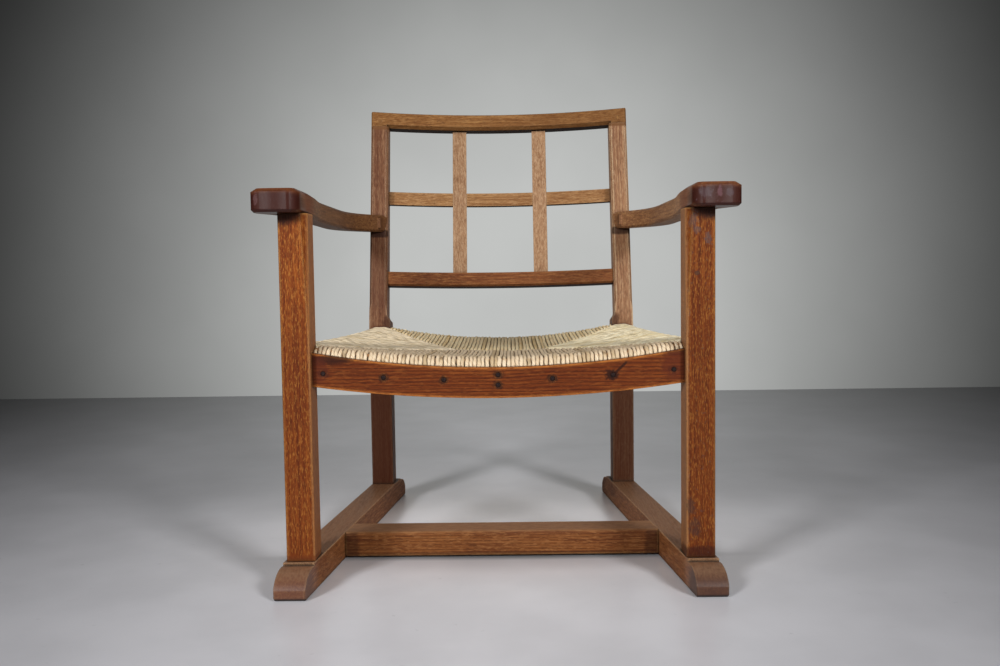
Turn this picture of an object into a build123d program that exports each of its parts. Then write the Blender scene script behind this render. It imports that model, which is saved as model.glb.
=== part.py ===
from build123d import *
import math
import os

# A low open-armed fireside chair: square oak posts on sledge feet, level bowed arms,
# a curved lattice back raked behind a dished rush seat, and a shaped front apron
# pegged over the front seat rail.
# Millimetres. X runs across the chair, Y from its front to its back, Z up from the floor.
# Places along Y are counted from the front posts' front faces until the finished pieces
# are moved, so that the origin lies on the floor under the middle of the outline.

# Posts
post_size = 41.0
front_post_span = 610.0
back_post_span = 512.0
back_post_setback = 484.0
worn_size = 1.5
foot_tenon_size = 22.0
foot_tenon_length = 30.0

# Sledge feet
sled_height = 42.0
sled_width = 44.5
sled_front_inset = 0.7
sled_back_inset = 3.4
toe_ledge = 6.0
toe_step = 4.5
toe_length = 42.0
toe_nose_height = 14.0
toe_bottom_radius = 6.0
toe_haunch_share = 0.71

# Stretcher between the feet
stretcher_setback = 144.0
stretcher_depth = 52.0
stretcher_height = 38.0
stretcher_round = 6.0
stretcher_tenon_depth = 34.0
stretcher_tenon_height = 14.0
stretcher_tenon_length = 22.0

# Arms
arm_underside_height = 536.0
arm_thickness = 33.0
arm_front_reach = 27.0
arm_front_crown = 2.0
arm_inner_step = 5.5
arm_bow = 13.0
arm_waist = 37.0
arm_ear_width = 18.4
arm_ear_length = 32.0
arm_ear_taper = 36.0
arm_front_round = 17.0
arm_ear_round = 10.0
arm_taper_round = 30.0
arm_end_slope_share = 0.745
arm_top_bevel = 5.0
arm_top_bevel_reach = 7.5
arm_bottom_chamfer = 3.5
# Each station says how far along the arm it is, and how much of the bow and of the turn in it has.
arm_station_shares = ((0.36, 1.0, 0.0), (0.65, 1.37, 0.1), (0.91, 0.55, 0.393))
arm_post_tenon_width = 16.0
arm_post_tenon_depth = 24.0
arm_post_tenon_length = 20.0
arm_back_tenon_width = 12.0
arm_back_tenon_height = 20.0
arm_back_tenon_length = 18.0

# Stopped chamfer that tapers up the inner front arris of each front post
front_chamfer = 9.5
front_chamfer_start = 330.0

# Back posts above the seat, measured up the rake from the knee
back_rake_degrees = 12.0
knee_rise = 7.0
knee_radius = 160.0
back_post_top_depth = 29.0
back_post_relief = 6.5
relief_shoulder_rise = 12.6
relief_cove_height = 13.4
back_chamfer = 4.0
back_chamfer_rise = 44.0
back_chamfer_stop = 14.0

# Crest rail and lattice, measured up the rake from the knee
back_sagitta = 28.0
crest_base_rise = 407.0
crest_height = 31.0
crest_thickness = 24.0
crest_chamfer = 6.0
crest_tenon_width = 18.0
crest_tenon_depth = 10.0
crest_tenon_length = 18.0
crest_tenon_setback = 10.0
crest_peg_diameter = 7.0
crest_peg_rise = 12.0
low_rail_base_rise = 82.0
low_rail_height = 27.5
low_rail_thickness = 24.0
low_rail_chamfer = 3.5
low_rail_tenon_height = 18.0
low_rail_tenon_thickness = 12.0
low_rail_tenon_length = 16.0
mid_rail_base_rise = 250.0
mid_rail_height = 26.5
lath_setback = 14.0
lath_thickness = 9.0
lath_tenon_thickness = 6.0
lath_tenon_margin = 4.0
lath_tenon_length = 12.0
slat_width = 28.0
slat_centre = 81.0

# Seat rails: the front rail's ends set the height of the whole seat
front_rail_end_height = 345.0
side_rail_drop = 4.0
back_rail_drop = 4.0
front_rail_dip = 20.0
back_rail_dip = 18.0
seat_rail_thickness = 20.0
seat_rail_depth = 45.0
seat_rail_chamfer = 4.0
seat_tenon_thickness = 10.0
seat_tenon_height = 30.0
seat_tenon_length = 13.0
side_tenon_thickness = 12.0
side_tenon_length = 20.0

# Apron over the front seat rail, and the short pegs that cover its fixings
apron_setback = 10.5
apron_thickness = 10.0
apron_housing_depth = 5.0
apron_top_drop = 5.5
apron_top_dip = 24.5
apron_end_depth = 48.0
apron_bottom_dip = 20.0
apron_peg_diameter = 6.5
apron_peg_proud = 0.7
apron_peg_depth = 6.0
apron_peg_end_margin = 15.4
apron_peg_first_share = 0.31
apron_peg_side_count = 3
apron_peg_row_depth = 17.6
apron_peg_row_dip = 11.9
apron_peg_pair_spacing = 14.4

# Rush
rush_thickness = 5.0
rush_side_gap = 3.0
rush_back_corner_rise = 4.7
rush_middle_drop = 26.0
rush_middle_thickness = 22.0
rush_apex_spacing = 144.0
rush_edge_chamfer = 5.0
rush_mitre_share = 0.55

# Fits
tenon_fit = 0.1
tenon_end_gap = 1.0
peg_fit = 0.1
rush_fit = 0.3
chamfer_feather = 0.2
overrun = 20.0

# Places worked out from the sizes above
rake = math.radians(back_rake_degrees)
knee_height = front_rail_end_height + knee_rise
side_rail_top_height = front_rail_end_height - side_rail_drop
back_rail_end_height = front_rail_end_height - back_rail_drop
apron_top_height = front_rail_end_height - apron_top_drop
apron_bottom_height = apron_top_height - apron_end_depth
apron_peg_row_height = apron_top_height - apron_top_dip - apron_peg_row_depth
front_outer = front_post_span / 2
front_inner = front_outer - post_size
front_centre = front_outer - post_size / 2
back_outer = back_post_span / 2
back_inner = back_outer - post_size
back_centre = back_outer - post_size / 2
back_upper_inner = back_inner + back_post_relief
back_upper_centre = (back_upper_inner + back_outer) / 2
post_middle_front = post_size / 2
post_middle_back = back_post_setback + post_size / 2
sled_front_end = -toe_ledge - toe_length
sled_back_end = back_post_setback + post_size + toe_ledge + toe_length
sled_front_centre = front_centre - sled_front_inset
sled_back_centre = back_centre - sled_back_inset
sled_toe_in = (sled_front_centre - sled_back_centre) / (post_middle_back - post_middle_front)
curve_radius = (back_outer**2 + back_sagitta**2) / (2 * back_sagitta)
curve_centre = back_sagitta - curve_radius
lath_front_radius = curve_radius + lath_setback
lath_middle_radius = lath_front_radius + lath_thickness / 2
lath_back_radius = lath_front_radius + lath_thickness
slat_angle = math.degrees(math.asin(slat_centre / lath_middle_radius))
crest_top_rise = crest_base_rise + crest_height
low_rail_top_rise = low_rail_base_rise + low_rail_height
mid_rail_top_rise = mid_rail_base_rise + mid_rail_height
rake_plane = Plane(
    origin=(0, back_post_setback, knee_height),
    x_dir=(1, 0, 0),
    z_dir=(0, math.sin(rake), math.cos(rake)),
)
arm_top_height = arm_underside_height + arm_thickness
arm_inner = front_inner + arm_inner_step
arm_outer = arm_inner + arm_bow + arm_waist
apron_back = apron_setback + apron_thickness
rush_cover = rush_fit + rush_thickness
front_rail_front = apron_back + rush_fit + rush_cover
front_rail_back = front_rail_front + seat_rail_thickness
front_tenon_middle = (front_rail_front + post_size) / 2 - tenon_end_gap
back_rail_front = back_post_setback + rush_cover
back_rail_back = back_rail_front + seat_rail_thickness
rush_front = apron_back + rush_fit
rush_back = back_rail_back + rush_cover
rush_side_half = seat_rail_thickness / 2 + rush_cover
side_rail_front_x = front_outer - rush_side_gap - rush_side_half
side_rail_back_x = back_outer - rush_side_gap - rush_side_half
side_rail_slope = (side_rail_front_x - side_rail_back_x) / (back_post_setback - post_size)
side_rail_bottom_height = side_rail_top_height - seat_rail_depth
side_rail_middle_height = side_rail_top_height - seat_rail_depth / 2
rush_side_top = side_rail_top_height + rush_cover
rush_side_bottom = side_rail_bottom_height - rush_cover
rush_mitre_y = post_size + rush_mitre_share * (back_post_setback - post_size)
apron_peg_end = apron_setback + apron_peg_depth
rush_back_corner_height = back_rail_end_height + rush_cover + rush_back_corner_rise
rush_middle_height = front_rail_end_height - rush_middle_drop


def block(x_range, y_range, z_range):
    """Rectangular block between two places on each axis."""
    ranges = (x_range, y_range, z_range)
    sizes = [high - low for low, high in ranges]
    middle = [(low + high) / 2 for low, high in ranges]
    return Pos(*middle) * Box(*sizes)


def about(middle, size, grow=0.0):
    """Range of a size centred on a place, with clearance on both sides."""
    return (middle - size / 2 - grow, middle + size / 2 + grow)


def plan_prism(outline, z_low, z_high):
    """Prism over a face drawn in plan."""
    return Pos(0, 0, z_low) * extrude(outline, amount=z_high - z_low)


def outline_face(points):
    return make_face(Polyline(*points, close=True))


def mirrored(piece):
    """The same piece for the other side of the chair."""
    return mirror(piece, about=Plane.YZ)


def sled_centre_x(y):
    return sled_front_centre - sled_toe_in * (y - post_middle_front)


def sled_inner_x(y):
    return sled_centre_x(y) - sled_width / 2


def side_rail_x(y):
    return side_rail_front_x - side_rail_slope * (y - post_size)


def raked(piece):
    """Moves a piece drawn on the rake: x across, y through the back, z up from the knee."""
    return rake_plane.location * piece


def raked_point(through, rise):
    """Y and Z of a place on the rake."""
    y = back_post_setback + through * math.cos(rake) + rise * math.sin(rake)
    z = knee_height - through * math.sin(rake) + rise * math.cos(rake)
    return y, z


def curve_through(x, radius):
    """How far behind the back posts' front faces a curved face lies at x."""
    return curve_centre + math.sqrt(radius**2 - x**2)


def arris_wedge(x, side, stations):
    """Cutter along a front arris at x, on a post that lies to that side, by size and height."""
    sections = []
    for size, z in stations:
        points = [
            (x - side * overrun, -overrun),
            (x + side * (size + overrun), -overrun),
            (x - side * overrun, size + overrun),
        ]
        sections.append(Pos(0, 0, z) * outline_face(points))
    return loft(sections, ruled=True)


# Tenons, each drawn where it stands and grown for its mortise
def foot_tenon(x, y, grow=0.0, end_gap=0.0):
    z_low = sled_height - foot_tenon_length - end_gap
    side = foot_tenon_size
    return block(about(x, side, grow), about(y, side, grow), (z_low, sled_height))


def stretcher_tenon(grow=0.0, end_gap=0.0):
    middle = stretcher_setback + stretcher_depth / 2
    y_low, y_high = about(middle, stretcher_tenon_depth, grow)
    z_low, z_high = about(sled_height - stretcher_height / 2, stretcher_tenon_height, grow)
    near = sled_inner_x(y_low) + stretcher_tenon_length + end_gap
    far = sled_inner_x(y_high) + stretcher_tenon_length + end_gap
    points = [(-near, y_low), (near, y_low), (far, y_high), (-far, y_high)]
    return plan_prism(outline_face(points), z_low, z_high)


def arm_post_tenon(grow=0.0, end_gap=0.0):
    middle = front_outer - (post_size - front_chamfer) / 2
    z_high = arm_underside_height + arm_post_tenon_length + end_gap
    x_range = about(middle, arm_post_tenon_width, grow)
    y_range = about(post_middle_front, arm_post_tenon_depth, grow)
    return block(x_range, y_range, (arm_underside_height, z_high))


def arm_back_tenon(grow=0.0, end_gap=0.0):
    middle = (arm_underside_height + arm_top_height) / 2
    face = back_post_setback + (middle - knee_height) * math.tan(rake)
    x_range = about(back_upper_centre, arm_back_tenon_width, grow)
    y_range = (face - arm_back_tenon_length, face + arm_back_tenon_length + end_gap)
    return block(x_range, y_range, about(middle, arm_back_tenon_height, grow))


def crest_tenon(grow=0.0, end_gap=0.0):
    x_range = about(back_upper_centre, crest_tenon_width, grow)
    y_range = (crest_tenon_setback - grow, crest_tenon_setback + crest_tenon_depth + grow)
    top = crest_base_rise + crest_tenon_length + end_gap
    return block(x_range, y_range, (crest_base_rise, top))


def rail_end_tenon(radius, thickness, height, length, middle_rise, grow=0.0, end_gap=0.0):
    """Tenon of a curved rail, square to the back post's inner face."""
    middle = curve_through(back_upper_inner, radius)
    x_range = (back_upper_inner - thickness / 2, back_upper_inner + length + end_gap)
    return block(x_range, about(middle, thickness, grow), about(middle_rise, height, grow))


def low_rail_tenon(grow=0.0, end_gap=0.0):
    radius = curve_radius + low_rail_thickness / 2
    middle = low_rail_base_rise + low_rail_height / 2
    sizes = (low_rail_tenon_thickness, low_rail_tenon_height, low_rail_tenon_length)
    return rail_end_tenon(radius, *sizes, middle, grow, end_gap)


def mid_rail_tenon(grow=0.0, end_gap=0.0):
    middle = mid_rail_base_rise + mid_rail_height / 2
    height = mid_rail_height - 2 * lath_tenon_margin
    sizes = (lath_tenon_thickness, height, lath_tenon_length)
    return rail_end_tenon(lath_middle_radius, *sizes, middle, grow, end_gap)


def front_rail_tenon(grow=0.0, end_gap=0.0):
    x_range = (front_inner - seat_tenon_length, front_inner + seat_tenon_length + end_gap)
    y_range = about(front_tenon_middle, seat_tenon_thickness, grow)
    middle = front_rail_end_height - seat_rail_depth / 2
    return block(x_range, y_range, about(middle, seat_tenon_height, grow))


def back_rail_tenon(grow=0.0, end_gap=0.0):
    x_range = (back_inner - seat_tenon_length, back_inner + seat_tenon_length + end_gap)
    y_range = about((back_rail_front + back_rail_back) / 2, seat_tenon_thickness, grow)
    middle = back_rail_end_height - seat_rail_depth / 2
    return block(x_range, y_range, about(middle, seat_tenon_height, grow))


def side_strip(half, y_low, y_high, z_range):
    """Slanting strip of a side rail between two places along Y."""
    points = [
        (side_rail_x(y_low) - half, y_low),
        (side_rail_x(y_low) + half, y_low),
        (side_rail_x(y_high) + half, y_high),
        (side_rail_x(y_high) - half, y_high),
    ]
    return plan_prism(outline_face(points), *z_range)


def side_rail_tenons(grow=0.0, end_gap=0.0):
    """One tongue through the rail's middle that reaches into both posts."""
    reach = side_tenon_length + end_gap
    half = side_tenon_thickness / 2 + grow
    z_range = about(side_rail_middle_height, seat_tenon_height, grow)
    return side_strip(half, post_size - reach, back_post_setback + reach, z_range)


# Sledge feet and stretcher
def sled_profile():
    """Side outline of a foot, with a stepped quarter-round toe at each end."""
    front_ledge = -toe_ledge
    back_ledge = back_post_setback + post_size + toe_ledge
    step = sled_height - toe_step
    bulge = toe_haunch_share * toe_length
    haunch = toe_nose_height + toe_haunch_share * (step - toe_nose_height)
    corner = toe_bottom_radius
    edges = [
        Line((sled_front_end + corner, 0), (sled_back_end - corner, 0)),
        CenterArc((sled_back_end - corner, corner), corner, -90, 90),
        Line((sled_back_end, corner), (sled_back_end, toe_nose_height)),
        ThreePointArc((sled_back_end, toe_nose_height), (back_ledge + bulge, haunch), (back_ledge, step)),
        Line((back_ledge, step), (back_ledge, sled_height)),
        Line((back_ledge, sled_height), (front_ledge, sled_height)),
        Line((front_ledge, sled_height), (front_ledge, step)),
        ThreePointArc((front_ledge, step), (front_ledge - bulge, haunch), (sled_front_end, toe_nose_height)),
        Line((sled_front_end, toe_nose_height), (sled_front_end, corner)),
        CenterArc((sled_front_end + corner, corner), corner, 180, 90),
    ]
    return make_face(edges)


def make_sled():
    side_view = extrude(Plane.YZ * sled_profile(), amount=front_post_span)
    y_low = sled_front_end - overrun
    y_high = sled_back_end + overrun
    points = [
        (sled_inner_x(y_low), y_low),
        (sled_inner_x(y_low) + sled_width, y_low),
        (sled_inner_x(y_high) + sled_width, y_high),
        (sled_inner_x(y_high), y_high),
    ]
    foot = side_view & plan_prism(outline_face(points), -overrun, sled_height + overrun)
    sides = foot.faces().sort_by(Axis.X)
    foot = chamfer(sides[0].edges() + sides[-1].edges(), worn_size)
    foot -= stretcher_tenon(tenon_fit, tenon_end_gap)
    foot -= foot_tenon(front_centre, post_middle_front, tenon_fit, tenon_end_gap)
    foot -= foot_tenon(back_centre, post_middle_back, tenon_fit, tenon_end_gap)
    return foot


def make_stretcher():
    y_back = stretcher_setback + stretcher_depth
    front = sled_inner_x(stretcher_setback)
    back = sled_inner_x(y_back)
    points = [
        (-front, stretcher_setback),
        (front, stretcher_setback),
        (back, y_back),
        (-back, y_back),
    ]
    rail = plan_prism(outline_face(points), sled_height - stretcher_height, sled_height)
    front_top = rail.faces().sort_by(Axis.Y)[0].edges().sort_by(Axis.Z)[-1]
    rail = fillet(front_top, stretcher_round)
    return rail + stretcher_tenon()


# Front posts and arms
def make_front_post():
    z_range = (sled_height, arm_underside_height)
    post = block((front_inner, front_outer), (0, post_size), z_range)
    post = fillet(post.edges().filter_by(Axis.Z), worn_size)
    stations = ((chamfer_feather, front_chamfer_start), (front_chamfer, arm_underside_height))
    post -= arris_wedge(front_inner, 1, stations)
    post += foot_tenon(front_centre, post_middle_front)
    post += arm_post_tenon()
    post -= apron_body(tenon_fit)
    post -= front_rail_tenon(tenon_fit, tenon_end_gap)
    post -= side_rail_tenons(tenon_fit, tenon_end_gap)
    return post


def arm_outline():
    """Plan of an arm: an eared front end, a bowed length and a back end that turns in."""
    front = -arm_front_reach + arm_front_crown
    ear = arm_outer + arm_ear_width
    ear_back = arm_ear_length - arm_front_reach
    waist_start = ear_back + arm_ear_taper
    end = back_post_setback + (arm_top_height - knee_height) * math.tan(rake)
    turn_in = arm_inner - back_upper_inner
    last_share = arm_station_shares[-1][0]
    slope = arm_end_slope_share * turn_in / (end - last_share * end)
    beyond = (-slope * overrun, overrun)
    inner_points = [(arm_inner, waist_start)]
    outer_points = [(arm_outer, waist_start)]
    for along, bow, turn in arm_station_shares:
        x = arm_inner + bow * arm_bow - turn * turn_in
        inner_points.append((x, along * end))
        outer_points.append((x + arm_waist, along * end))
    inner_points.append((back_upper_inner, end))
    outer_points.append((back_outer, end))
    outer_end = (back_outer + beyond[0], end + beyond[1])
    inner_end = (back_upper_inner + beyond[0], end + beyond[1])
    middle = (arm_inner + ear) / 2
    tangents = [(0, 1), (-slope, 1)]
    edges = [
        ThreePointArc((arm_inner, front), (middle, -arm_front_reach), (ear, front)),
        Line((ear, front), (ear, ear_back)),
        Line((ear, ear_back), (arm_outer, waist_start)),
        Spline(*outer_points, tangents=tangents),
        Polyline(outer_points[-1], outer_end, inner_end, inner_points[-1]),
        Spline(*inner_points, tangents=tangents),
        Line((arm_inner, waist_start), (arm_inner, front)),
    ]
    outline = make_face(edges)
    corners = outline.vertices().sort_by(Axis.Y)
    outline = fillet(corners[:2], arm_front_round)
    ear_corner = [v for v in outline.vertices() if abs(v.Y - ear_back) < tenon_fit]
    outline = fillet(ear_corner, arm_ear_round)
    taper_end = [v for v in outline.vertices() if abs(v.Y - waist_start) < tenon_fit]
    return fillet(sorted(taper_end, key=lambda v: v.X)[-1], arm_taper_round)


def make_arm():
    arm = plan_prism(arm_outline(), arm_underside_height, arm_top_height)
    top = arm.faces().sort_by(Axis.Z)[-1]
    arm = chamfer(top.edges(), arm_top_bevel_reach, arm_top_bevel, reference=top)
    arm = chamfer(arm.faces().sort_by(Axis.Z)[0].edges(), arm_bottom_chamfer)
    behind = block((0, front_post_span), (0, back_post_setback), (0, crest_top_rise))
    arm -= raked(behind)
    arm += arm_back_tenon()
    arm -= arm_post_tenon(tenon_fit, tenon_end_gap)
    return arm


# Back posts
def back_post_profile():
    """Side outline: plumb to the knee, then raked and tapered to the crest."""
    points = [
        (back_post_setback, sled_height),
        (back_post_setback, knee_height),
        raked_point(0, crest_base_rise),
        raked_point(back_post_top_depth, crest_base_rise),
        (back_post_setback + post_size, knee_height),
        (back_post_setback + post_size, sled_height),
    ]
    profile = outline_face(points)
    knees = [v for v in profile.vertices() if abs(v.Y - knee_height) < tenon_fit]
    return fillet(knees, knee_radius)


def relief_cutter():
    """Cuts the inner side back above the seat, ending in a cove over a shoulder."""
    radius = (relief_cove_height**2 + back_post_relief**2) / (2 * back_post_relief)
    cove_top = relief_shoulder_rise + relief_cove_height
    half_angle = math.asin(relief_cove_height / radius) / 2
    middle_x = back_upper_inner - radius + radius * math.cos(half_angle)
    middle_z = cove_top - radius * math.sin(half_angle)
    top = crest_top_rise + overrun
    edges = [
        ThreePointArc(
            (back_upper_inner, cove_top),
            (middle_x, middle_z),
            (back_inner, relief_shoulder_rise),
        ),
        Polyline(
            (back_inner, relief_shoulder_rise),
            (back_inner - overrun, relief_shoulder_rise),
            (back_inner - overrun, top),
            (back_upper_inner, top),
            (back_upper_inner, cove_top),
        ),
    ]
    return extrude(Plane.XZ * make_face(edges), amount=2 * post_size, both=True)


def back_chamfers():
    """Stopped chamfers of both front arrises, the outer one running up past the crest."""
    start = (chamfer_feather, back_chamfer_rise - back_chamfer_stop)
    inner = (start, (back_chamfer, back_chamfer_rise), (back_chamfer, crest_base_rise))
    outer = (start, (back_chamfer, back_chamfer_rise), (back_chamfer, crest_top_rise + overrun))
    return arris_wedge(back_upper_inner, 1, inner) + arris_wedge(back_outer, -1, outer)


def make_back_post():
    post = extrude(Plane.YZ * back_post_profile(), amount=post_size)
    post = Pos(back_inner, 0, 0) * post
    post -= raked(relief_cutter())
    post -= raked(back_chamfers())
    post += raked(crest_tenon())
    post += foot_tenon(back_centre, post_middle_back)
    post -= raked(low_rail_tenon(tenon_fit, tenon_end_gap))
    post -= raked(mid_rail_tenon(tenon_fit, tenon_end_gap))
    post -= raked(crest_peg_rod(peg_fit))
    post -= arm_back_tenon(tenon_fit, tenon_end_gap)
    post -= back_rail_tenon(tenon_fit, tenon_end_gap)
    post -= side_rail_tenons(tenon_fit, tenon_end_gap)
    return post


# Crest rail and lattice
def curved_rail(radius, thickness, half_width, base, height):
    """Rail bent on an arc round the sitter, cut square at both ends."""
    back = radius + thickness
    edges = [
        ThreePointArc(
            (-half_width, curve_through(half_width, radius)),
            (0, curve_through(0, radius)),
            (half_width, curve_through(half_width, radius)),
        ),
        Line(
            (half_width, curve_through(half_width, radius)),
            (half_width, curve_through(half_width, back)),
        ),
        ThreePointArc(
            (half_width, curve_through(half_width, back)),
            (0, curve_through(0, back)),
            (-half_width, curve_through(half_width, back)),
        ),
        Line(
            (-half_width, curve_through(half_width, back)),
            (-half_width, curve_through(half_width, radius)),
        ),
    ]
    return plan_prism(make_face(edges), base, base + height)


def curved_wedge(base, size, half_width):
    """Cutter for a chamfer on the lower front arris of a curved rail."""
    angle = math.asin(half_width / curve_radius)
    radial = Vector(math.sin(angle), math.cos(angle), 0)
    section = Plane(
        origin=(0, curve_centre, 0), x_dir=radial, z_dir=radial.cross(Vector(0, 0, 1))
    )
    points = [
        (curve_radius - overrun, base - overrun),
        (curve_radius + size + overrun, base - overrun),
        (curve_radius - overrun, base + size + overrun),
    ]
    axis = Axis((0, curve_centre, 0), (0, 0, 1))
    return revolve(section * outline_face(points), axis, math.degrees(2 * angle))


def slat_turned(piece, side):
    """Turns a piece drawn on the middle line of the curve out to a slat's place."""
    return Pos(0, curve_centre, 0) * Rot(0, 0, -side * slat_angle) * piece


def slat_tenons(grow=0.0, end_gap=0.0):
    half_width = slat_width - 2 * lath_tenon_margin
    x_range = about(0, half_width, grow)
    y_range = about(lath_middle_radius, lath_tenon_thickness, grow)
    reach = lath_tenon_length + end_gap
    return block(x_range, y_range, (low_rail_top_rise - reach, crest_base_rise + reach))


def crest_peg_rod(grow=0.0):
    radius = crest_peg_diameter / 2 + grow
    rod = Rot(90, 0, 0) * Cylinder(radius, 2 * post_size)
    return Pos(back_upper_centre, crest_tenon_setback, crest_base_rise + crest_peg_rise) * rod


def crest_blank():
    return curved_rail(curve_radius, crest_thickness, back_outer, crest_base_rise, crest_height)


def make_crest():
    crest = crest_blank()
    crest = chamfer(crest.faces().sort_by(Axis.Z)[-1].edges(), worn_size)
    crest -= curved_wedge(crest_base_rise, crest_chamfer, back_upper_inner + back_chamfer)
    crest -= back_chamfers() + mirrored(back_chamfers())
    for cutter in (crest_tenon(tenon_fit, tenon_end_gap), crest_peg_rod(peg_fit)):
        crest -= cutter
        crest -= mirrored(cutter)
    for side in (-1, 1):
        crest -= slat_turned(slat_tenons(tenon_fit, tenon_end_gap), side)
    return raked(crest)


def make_crest_pegs():
    peg = crest_peg_rod() & crest_blank()
    return raked(Compound([peg, mirrored(peg)]))


def make_low_rail():
    sizes = (low_rail_thickness, back_upper_inner, low_rail_base_rise, low_rail_height)
    rail = curved_rail(curve_radius, *sizes)
    rail -= curved_wedge(low_rail_base_rise, low_rail_chamfer, back_outer)
    rail += low_rail_tenon() + mirrored(low_rail_tenon())
    for side in (-1, 1):
        rail -= slat_turned(slat_tenons(tenon_fit, tenon_end_gap), side)
    return raked(rail)


def make_mid_rail():
    sizes = (lath_thickness, back_upper_inner, mid_rail_base_rise, mid_rail_height)
    rail = curved_rail(lath_front_radius, *sizes)
    rail += mid_rail_tenon() + mirrored(mid_rail_tenon())
    z_range = (mid_rail_base_rise - overrun, mid_rail_top_rise + overrun)
    y_range = (lath_front_radius - overrun, lath_middle_radius)
    halving = block(about(0, slat_width, tenon_fit), y_range, z_range)
    for side in (-1, 1):
        rail -= slat_turned(halving, side)
    return raked(rail)


def make_slat(side):
    y_range = (lath_front_radius, lath_back_radius)
    slat = block(about(0, slat_width), y_range, (low_rail_top_rise, crest_base_rise))
    slat += slat_tenons()
    z_range = (mid_rail_base_rise - tenon_fit, mid_rail_top_rise + tenon_fit)
    halving_range = (lath_middle_radius, lath_back_radius + overrun)
    slat -= block(about(0, slat_width + overrun), halving_range, z_range)
    return raked(slat_turned(slat, side))


# Seat rails, apron and pegs
def arched_board(half, top, top_dip, bottom, bottom_dip, y_range):
    """Board across the chair whose long edges both dip towards the middle."""
    y_low, y_high = y_range
    edges = [
        ThreePointArc((-half, top), (0, top - top_dip), (half, top)),
        Line((half, top), (half, bottom)),
        ThreePointArc((half, bottom), (0, bottom - bottom_dip), (-half, bottom)),
        Line((-half, bottom), (-half, top)),
    ]
    board = extrude(Plane.XZ * make_face(edges), amount=y_high - y_low)
    return Pos(0, y_high, 0) * board


def front_rail_body(grow=0.0):
    top = front_rail_end_height + grow
    bottom = front_rail_end_height - seat_rail_depth - grow
    y_range = (front_rail_front - grow, front_rail_back + grow)
    return arched_board(front_inner + grow, top, front_rail_dip, bottom, front_rail_dip, y_range)


def back_rail_body(grow=0.0):
    top = back_rail_end_height + grow
    bottom = back_rail_end_height - seat_rail_depth - grow
    y_range = (back_rail_front - grow, back_rail_back + grow)
    return arched_board(back_inner + grow, top, back_rail_dip, bottom, back_rail_dip, y_range)


def side_rail_body(grow=0.0):
    z_range = (side_rail_bottom_height - grow, side_rail_top_height + grow)
    half = seat_rail_thickness / 2 + grow
    return side_strip(half, post_size - grow, back_post_setback + grow, z_range)


def eased_lengthwise(rail):
    """Eases the arrises that the rush turns over, which are longer than the rail is deep."""
    faces = rail.faces().sort_by(Axis.Z)
    edges = faces[0].edges() + faces[-1].edges()
    return chamfer([e for e in edges if e.length > seat_rail_depth], seat_rail_chamfer)


def make_front_seat_rail():
    rail = eased_lengthwise(front_rail_body())
    return rail + front_rail_tenon() + mirrored(front_rail_tenon())


def make_back_seat_rail():
    rail = eased_lengthwise(back_rail_body())
    return rail + back_rail_tenon() + mirrored(back_rail_tenon())


def make_side_seat_rail():
    return eased_lengthwise(side_rail_body()) + side_rail_tenons()


def apron_body(grow=0.0):
    top = apron_top_height + grow
    bottom = apron_bottom_height - grow
    half = front_inner + apron_housing_depth + grow
    y_range = (apron_setback - grow, apron_back + grow)
    return arched_board(half, top, apron_top_dip, bottom, apron_bottom_dip, y_range)


def apron_peg_places():
    """Places across the chair and heights: a row that rises to both ends, with one pair."""
    half = apron_peg_pair_spacing / 2
    places = [(0, apron_peg_row_height - half), (0, apron_peg_row_height + half)]
    last = front_inner - apron_peg_end_margin
    first = apron_peg_first_share * last
    for index in range(apron_peg_side_count):
        x = first + (last - first) * index / (apron_peg_side_count - 1)
        z = apron_peg_row_height + apron_peg_row_dip * (x / last) ** 2
        places += [(-x, z), (x, z)]
    return places


def apron_peg_rods(grow=0.0, end_gap=0.0):
    front = apron_setback - apron_peg_proud - grow
    length = apron_peg_end + end_gap - front
    rods = []
    for x, z in apron_peg_places():
        rod = Rot(90, 0, 0) * Cylinder(apron_peg_diameter / 2 + grow, length)
        rods.append(Pos(x, front + length / 2, z) * rod)
    return rods


def make_apron():
    apron = apron_body()
    for peg in apron_peg_rods(peg_fit, tenon_end_gap):
        apron -= peg
    return apron


def make_apron_pegs():
    return Compound(apron_peg_rods())


# Rush
def rush_section(y, side_top, middle_top, middle_bottom):
    """Cross-section of the whole seat at one place: flat over the side rails, dished between."""
    half = side_rail_x(y) - rush_side_half
    wide = front_outer + overrun
    edges = [
        Line((-wide, side_top), (-half, side_top)),
        ThreePointArc((-half, side_top), (0, middle_top), (half, side_top)),
        Line((half, side_top), (wide, side_top)),
        Line((wide, side_top), (wide, rush_side_bottom)),
        Line((wide, rush_side_bottom), (half, rush_side_bottom)),
        ThreePointArc((half, rush_side_bottom), (0, middle_bottom), (-half, rush_side_bottom)),
        Line((-half, rush_side_bottom), (-wide, rush_side_bottom)),
        Line((-wide, rush_side_bottom), (-wide, side_top)),
    ]
    return Pos(0, y, 0) * (Plane.XZ * make_face(edges))


def rush_blank():
    """Dished pad that holds all four fields of the seat."""
    front_top = front_rail_end_height - front_rail_dip + rush_cover
    back_top = back_rail_end_height - back_rail_dip + rush_cover
    depth = seat_rail_depth + 2 * rush_cover
    middle_bottom = rush_middle_height - rush_middle_thickness
    front_corner = front_rail_end_height + rush_cover
    sections = [
        rush_section(rush_front, front_corner, front_top, front_top - depth),
        rush_section(rush_mitre_y, rush_side_top, rush_middle_height, middle_bottom),
        rush_section(rush_back, rush_back_corner_height, back_top, back_top - depth),
    ]
    return loft(sections, ruled=True)


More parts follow.
